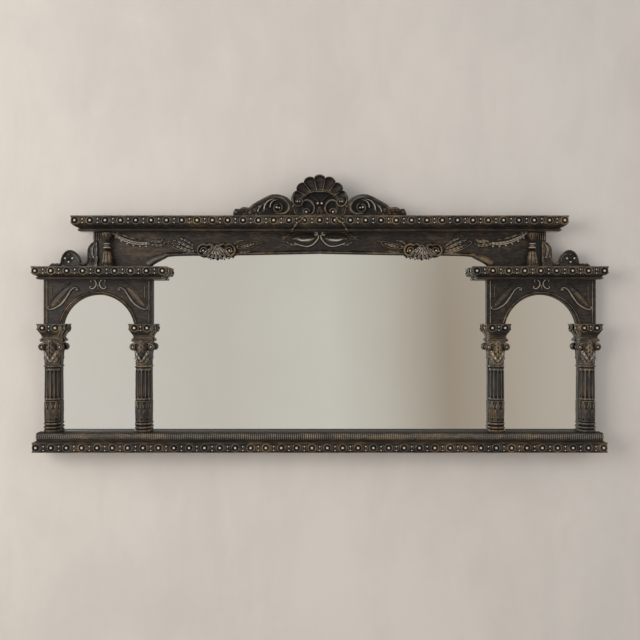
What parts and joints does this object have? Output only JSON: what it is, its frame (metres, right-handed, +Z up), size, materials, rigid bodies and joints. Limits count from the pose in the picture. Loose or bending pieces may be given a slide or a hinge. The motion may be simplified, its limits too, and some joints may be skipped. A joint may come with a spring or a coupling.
{
  "type": "wall mirror",
  "caption": "Wide carved overmantel wall mirror: flat-arched frieze with a shell crest over a wide centre pane, and an arched, columned bay at each side.",
  "frame": {"origin": "on the wall plane at mid-width, level with the underside of the base moulding", "axes": "+Z up, +X to the right seen from the front, +Y into the wall; the mirror faces -Y"},
  "size_m": [1.524, 0.0888, 0.737],
  "materials": {
    "mirror_glass": "silvered float glass",
    "hardboard": "plain hardboard",
    "back_wood": "unfinished sawn wood",
    "frame_wood": "ebonised, waxed, rubbed on the edges",
    "carved_wood": "carved, ebonised, rubbed brown on the high points",
    "column_wood": "turned and carved, ebonised with rubbed gold",
    "rubbed_ornament": "applied composition ornament, old gold rubbed through black",
    "steel": "zinc plated"
  },
  "bodies": {
    "frame": {"center_glass": "mirror_glass", "left_glass": "mirror_glass", "right_glass": "mirror_glass", "center_backing": "hardboard", "left_backing": "hardboard", "right_backing": "hardboard", "retaining_beads": "back_wood", "bottom_rail": "frame_wood", "left_outer_stile": "frame_wood", "left_inner_stile": "frame_wood", "right_inner_stile": "frame_wood", "right_outer_stile": "frame_wood", "top_rail": "back_wood", "left_side_rail": "back_wood", "right_side_rail": "back_wood", "left_arch_panel": "carved_wood", "right_arch_panel": "carved_wood", "frieze_board": "carved_wood", "left_side_cornice": "carved_wood", "right_side_cornice": "carved_wood", "top_cornice": "carved_wood", "base_moulding": "carved_wood", "reeded_moulding": "carved_wood", "left_outer_column": "column_wood", "left_inner_column": "column_wood", "right_inner_column": "column_wood", "right_outer_column": "column_wood", "left_outer_capital": "column_wood", "left_inner_capital": "column_wood", "right_inner_capital": "column_wood", "right_outer_capital": "column_wood", "left_outer_impost": "column_wood", "left_inner_impost": "column_wood", "right_inner_impost": "column_wood", "right_outer_impost": "column_wood", "left_baluster": "carved_wood", "right_baluster": "carved_wood", "left_wing": "carved_wood", "right_wing": "carved_wood", "crest_shell": "carved_wood", "crest_base": "carved_wood", "left_crest_scroll": "carved_wood", "right_crest_scroll": "carved_wood", "left_festoon": "rubbed_ornament", "right_festoon": "rubbed_ornament", "left_acanthus": "rubbed_ornament", "right_acanthus": "rubbed_ornament", "frieze_center_scrolls": "rubbed_ornament", "ribbon_ties": "rubbed_ornament", "frieze_arch_lip": "rubbed_ornament", "left_arch_beads": "rubbed_ornament", "right_arch_beads": "rubbed_ornament", "left_spandrel_scrolls": "rubbed_ornament", "right_spandrel_scrolls": "rubbed_ornament", "key_ornaments": "rubbed_ornament", "hanger_straps": "steel", "hanger_screws": "steel"},
    "left_ring": {"left_ring": "steel"},
    "right_ring": {"right_ring": "steel"}
  },
  "joints": [
    {"name": "left_ring_swing", "type": "hinge", "parent": "frame", "child": "left_ring", "pos_m": [-0.3, -0.00495, 0.59], "axis": [1, 0, 0], "range_deg": [0, 180]},
    {"name": "right_ring_swing", "type": "hinge", "parent": "frame", "child": "right_ring", "pos_m": [0.3, -0.00495, 0.59], "axis": [1, 0, 0], "range_deg": [0, 180]}
  ]
}
